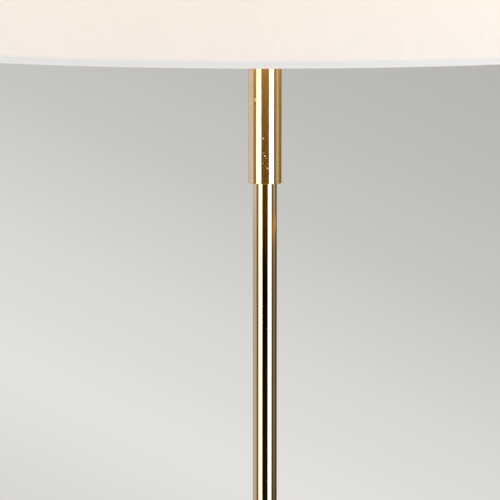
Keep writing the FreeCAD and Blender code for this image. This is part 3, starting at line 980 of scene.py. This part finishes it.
rolled_shell = grained_finish(
    "rolled_shell",
    colours=((0.66, 0.66, 0.65), (0.78, 0.78, 0.76)),
    fine=(300, 3),
    roughness=(0.16, 0.3),
    bump_depth=0.00003,
    metallic=1.0,
)
form = turned(
    [
        (0, disc_head),
        (shell_foot_radius, disc_head),
        (shell_radius, shell_shoulder),
        (shell_radius, shell_head),
        (0, shell_head),
    ],
    steps=72,
)
wind_thread(
    form,
    lamp_thread_root,
    lamp_thread_crest,
    lamp_thread_pitch,
    bottom=lamp_thread_foot,
    top=lamp_thread_head,
    steps=60,
)
set_in_place("screw_shell", form, rolled_shell, "bulb", ["bulb_shell"])

white_moulding = grained_finish(
    "white_moulding",
    colours=((0.84, 0.83, 0.8), (0.78, 0.76, 0.7)),
    fine=(1300, 2),
    coarse=(60, 3),
    roughness=(0.32, 0.5),
    bump_depth=0.00006,
)
form = tube(0, bulb_radius, shell_head, collar_head, steps=96)
soften(form, radius=0.004, rounds=6, along=rim(shell_head, beyond=bulb_radius / 2))
soften(form, radius=0.0004, rounds=2, along=rim(collar_head, beyond=bulb_radius / 2))
set_in_place("bulb_collar", form, white_moulding, "bulb", ["bulb_body"])

opal = grained_finish(
    "lit_opal",
    colours=((0.93, 0.92, 0.88), (0.9, 0.88, 0.83)),
    fine=(90, 3),
    roughness=(0.3, 0.42),
    bump_depth=0.00005,
)
tree = opal.node_tree
lay = step(tree, "TexCoord").outputs["Object"]
height = step(tree, "SeparateXYZ", {0: lay}).outputs[2]
fully_lit = 0.499
from_collar = ranged(tree, height, start=collar_head, end=fully_lit)
light_up(opal, from_collar, dim=(0.5, 0.33, 0.18), bright=(1.0, 0.78, 0.52), strength=4.6)
seam = 0.0002
form = turned(
    [
        (0, collar_head),
        (bulb_radius - seam, collar_head),
        (bulb_radius, collar_head + 2 * seam),
        (bulb_radius, tube_head),
        (0, tube_head),
    ],
    steps=96,
)
soften(form, radius=0.013, rounds=12, along=rim(tube_head, beyond=bulb_radius / 2))
set_in_place("opal_tube", form, opal, "bulb", ["bulb_diffuser"])


# Studio. A pale round floor that fades into plain grey paper, a soft box on each side of the camera
# and a weak one behind, and a plain room that only the brass mirrors. The camera stands far back, at
# half a metre, and looks slightly down. Nothing here is part of the lamp.
floor_radius = 1.2
fades_from, fades_to = 0.3, 0.84
floor_paint, tree, shader = plain_finish("pale_floor")
lay = step(tree, "TexCoord").outputs["Object"]
from_lamp = step(tree, "VectorMath", {0: lay}, operation="LENGTH").outputs["Value"]
fading = ranged(tree, from_lamp, 1.0, 0.0, start=fades_from, end=fades_to, **smoothly)
below = step(tree, "NewGeometry").outputs["Backfacing"]
tooth = placed(tree, grain, Scale=400, Detail=3)["Value"]
feed(
    tree,
    shader,
    bump_depth=0.00005,
    Base_Color=tinted(tree, tooth, (0.69, 0.685, 0.64), (0.73, 0.725, 0.68)),
    Alpha=sums(tree, "MULTIPLY", fading, sums(tree, "SUBTRACT", 1.0, below)),
    Height=tooth,
)
shader.inputs["Roughness"].default_value = 0.7
form = bmesh.new()
bmesh.ops.create_circle(form, cap_ends=True, segments=96, radius=floor_radius)
floor = bpy.data.objects.new("floor", bpy.data.meshes.new("floor"))
form.to_mesh(floor.data)
form.free()
floor.data.materials.append(floor_paint)
bpy.context.scene.collection.objects.link(floor)
floor.visible_glossy = False


def soft_box(name, from_angle, to_angle, distance, low, high, brightness, colour, mirrored=True):
    """An upright soft box from one angle round the lamp to another; 0 is the camera, right is plus."""
    middle = math.radians((from_angle + to_angle) / 2)
    width = 2 * distance * math.tan(math.radians((to_angle - from_angle) / 2))
    light = bpy.data.lights.new(name, "AREA")
    light.shape = "RECTANGLE"
    light.size = width
    light.size_y = high - low
    light.color = colour
    light.energy = math.pi * brightness * width * (high - low)
    box = bpy.data.objects.new(name, light)
    box.location = (distance * math.sin(middle), -distance * math.cos(middle), (low + high) / 2)
    box.rotation_euler = (math.pi / 2, 0, middle)
    box.visible_camera = False
    box.visible_glossy = mirrored
    bpy.context.scene.collection.objects.link(box)


cool, neutral = (0.94, 1.0, 1.2), (1.0, 1.0, 1.0)
soft_box("left_box", -60.5, -26.5, distance=0.85, low=-0.1, high=0.85, brightness=2.65, colour=cool)
soft_box("right_box", 29.5, 64.5, distance=0.85, low=-0.1, high=0.95, brightness=2.8, colour=cool)
soft_box("back_fill", 140, 220, distance=1.2, low=0, high=1.3, brightness=0.9, colour=neutral, mirrored=False)


def set_stops(ramp, stops):
    """Give a colour ramp its stops: how far along each is, how bright it is and its tint."""
    while len(ramp.elements) < len(stops):
        ramp.elements.new(0.5)
    for stop, (position, level, tint) in zip(ramp.elements, stops):
        stop.position = position
        stop.color = (*(level * share for share in tint), 1)


paper = bpy.data.worlds.new("grey_paper")
paper.use_nodes = True
bpy.context.scene.world = paper
tree = paper.node_tree
tree.nodes.clear()
way = step(tree, "TexCoord").outputs["Generated"]
shaded_along = (0.46, 0.1044, 0.9945)
shading = step(tree, "VectorMath", {0: way, 1: shaded_along}, operation="DOT_PRODUCT").outputs["Value"]
seen_paper = step(tree, "ValToRGB", {0: ranged(tree, shading, start=0.077, end=-0.0919)})
seen_paper.color_ramp.interpolation = "CARDINAL"
paper_tint = (1.0, 0.989, 0.946)
paper_light = (
    (0.0, 0.479),
    (0.24, 0.533),
    (0.4, 0.591),
    (0.56, 0.672),
    (0.72, 0.731),
    (0.84, 0.761),
    (1.0, 0.701),
)
set_stops(seen_paper.color_ramp, [(position, light, paper_tint) for position, light in paper_light])

split = step(tree, "SeparateXYZ", {0: way}).outputs
up = split[2]
bearing = sums(tree, "ARCTAN2", split[0], sums(tree, "MULTIPLY", split[1], -1.0))
around_lamp = ranged(tree, bearing, start=-math.pi, end=math.pi)
studio = step(tree, "ValToRGB", {0: around_lamp})
white, daylight, cream = (1.0, 1.01, 1.03), (1.0, 0.99, 1.25), (1.0, 0.94, 0.84)
tan, amber = (1.0, 0.79, 0.42), (1.0, 0.68, 0.1)
walls = (
    (-180, 0.28, cream),
    (-170, 0.38, cream),
    (-148, 0.46, daylight),
    (-138, 0.59, daylight),
    (-92, 0.59, daylight),
    (-84, 0.17, tan),
    (-70, 0.2, tan),
    (-61, 0.45, cream),
    (-56, 0.0, tan),
    (0, 0.0, tan),
    (72, 0.06, tan),
    (84, 0.42, white),
    (98, 0.92, white),
    (106, 0.78, cream),
    (118, 0.46, amber),
    (140, 0.42, amber),
    (165, 0.34, tan),
    (180, 0.28, cream),
)
set_stops(studio.color_ramp, [((angle + 180) / 360, level, tint) for angle, level, tint in walls])

low_down = ranged(tree, bearing, 0.85, 0.15, start=-0.5, end=0.5)
dimming = ranged(tree, bearing, 0.19, 0.33, start=-0.5, end=0.5)
under_rail = ranged(tree, up, start=-0.089, end=-0.102)
above_skirting = ranged(tree, up, start=-0.165, end=-0.122)
dimmed = sums(tree, "MULTIPLY", dimming, sums(tree, "MULTIPLY", under_rail, above_skirting))
higher = ranged(tree, up, low_down, 2.3, start=-0.18, end=0.35)
higher = sums(tree, "MULTIPLY", higher, sums(tree, "SUBTRACT", 1.0, dimmed))
room = step(tree, "VectorMath", {0: studio.outputs[0], 3: higher}, operation="SCALE").outputs[0]
ceiling = ranged(tree, up, start=0.55, end=0.85)
room = tinted(tree, ceiling, room, (0.6, 0.4, 0.16))
table_top = ranged(tree, up, start=-0.5, end=-0.75)
room = tinted(tree, table_top, room, (0.55, 0.4, 0.2))
camera_side = sums(tree, "LESS_THAN", sums(tree, "ABSOLUTE", bearing), 0.44)
room = tinted(tree, camera_side, room, (0.95, 0.75, 0.12), blend_type="MULTIPLY")
lit_above = sums(tree, "MULTIPLY", camera_side, ranged(tree, up, start=-0.108, end=-0.09))
room = tinted(tree, lit_above, room, (0.09, 0.05, 0.004), blend_type="ADD")
lit_below = sums(tree, "MULTIPLY", camera_side, ranged(tree, up, start=-0.112, end=-0.15))
room = tinted(tree, lit_below, room, (0.0072, 0.0085, 0.008), blend_type="ADD")
slant = sums(tree, "MULTIPLY_ADD", bearing, 0.0022, -0.1018)
off_line = sums(tree, "ABSOLUTE", sums(tree, "SUBTRACT", up, slant))
to_the_side = sums(tree, "LESS_THAN", sums(tree, "ABSOLUTE", sums(tree, "SUBTRACT", bearing, 1.85)), 0.6)
gleam = sums(tree, "MULTIPLY", to_the_side, sums(tree, "LESS_THAN", off_line, 0.0013))
room = tinted(tree, gleam, room, (0.75, 0.42, 0.1))
ray = step(tree, "LightPath").outputs
evened = tinted(tree, ray["Is Diffuse Ray"], room, (0.24, 0.24, 0.24))
shown = tinted(tree, ray["Is Camera Ray"], evened, seen_paper.outputs[0])
background = step(tree, "Background", {"Color": shown})
tree.links.new(background.outputs[0], step(tree, "OutputWorld").inputs[0])

camera_distance = 2.0
camera_height = 0.5
camera_aside = -0.00808
looks_down = 5.981
camera = bpy.data.objects.new("camera", bpy.data.cameras.new("camera"))
camera.data.lens = 266.4
camera.data.sensor_width = 36
camera.location = (camera_aside, -camera_distance, camera_height)
camera.rotation_euler = (math.radians(90 - looks_down), 0, 0)
bpy.context.scene.collection.objects.link(camera)
bpy.context.scene.camera = camera
bpy.context.scene.view_settings.view_transform = "Standard"
